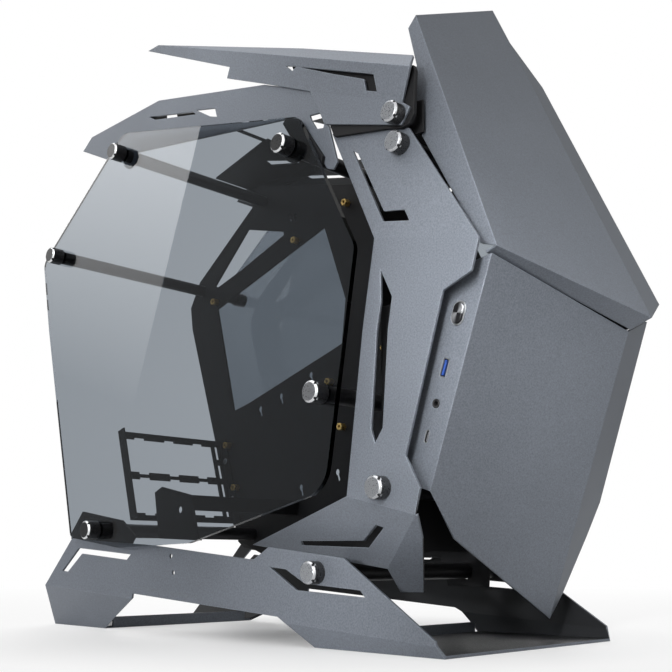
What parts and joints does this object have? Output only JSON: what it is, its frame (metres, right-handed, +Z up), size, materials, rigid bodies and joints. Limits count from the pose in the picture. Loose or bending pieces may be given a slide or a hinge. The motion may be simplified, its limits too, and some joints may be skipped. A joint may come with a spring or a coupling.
{
  "type": "micro-atx pc case",
  "caption": "Open-frame computer case of folded grey steel plates and rods, with tinted glass sides, a tilted board tray, a two-piece angular front shield and a power button.",
  "frame": {"origin": "middle of the case's footprint, on the floor it stands on", "axes": "+X to the side of the case away from the I/O strip, -Y to the front shields, +Z up"},
  "size_m": [0.251, 0.5562, 0.5238],
  "materials": {
    "jack_plastic": "matt",
    "armour_coat": "satin, fine grain",
    "button_metal": "satin",
    "black_coat": "matt",
    "rod_coat": "satin",
    "rubber": "matt",
    "board": "satin",
    "knob_metal": "polished",
    "glass": "polished",
    "brass": "bright",
    "black_plastic": "matt",
    "blue_plastic": "matt"
  },
  "bodies": {
    "case": {"audio_jack": "jack_plastic", "base": "armour_coat", "button_bezel": "button_metal", "expansion_slot_frame": "black_coat", "fan_bracket": "black_coat", "frame_rods": "rod_coat", "glass_rods": "rod_coat", "glass_washers": "rubber", "io_board": "board", "left_corner_bracket": "black_coat", "left_frame_knobs": "knob_metal", "left_glass": "glass", "left_glass_arm": "black_coat", "left_glass_knobs": "knob_metal", "left_pillar": "armour_coat", "left_rear_wing": "armour_coat", "left_roof_fin": "armour_coat", "left_shield_link": "black_coat", "lower_front_shield": "armour_coat", "motherboard_tray": "black_coat", "psu_bracket": "black_coat", "right_corner_bracket": "black_coat", "right_frame_knobs": "knob_metal", "right_glass": "glass", "right_glass_arm": "black_coat", "right_glass_knobs": "knob_metal", "right_pillar": "armour_coat", "right_rear_wing": "armour_coat", "right_roof_fin": "armour_coat", "right_shield_link": "black_coat", "standoffs": "brass", "switch_housing": "black_plastic", "tray_screws": "knob_metal", "upper_front_shield": "armour_coat", "usb_a_shell": "button_metal", "usb_a_tongue": "blue_plastic", "usb_c_shell": "button_metal"},
    "button": {"power_button": "button_metal"}
  },
  "joints": [
    {"name": "power_button_press", "type": "slide", "parent": "case", "child": "button", "axis": [1, 0, 0], "range_m": [0, 0.0012], "stiffness_N_per_m": 400, "springref_m": -0.0015}
  ]
}
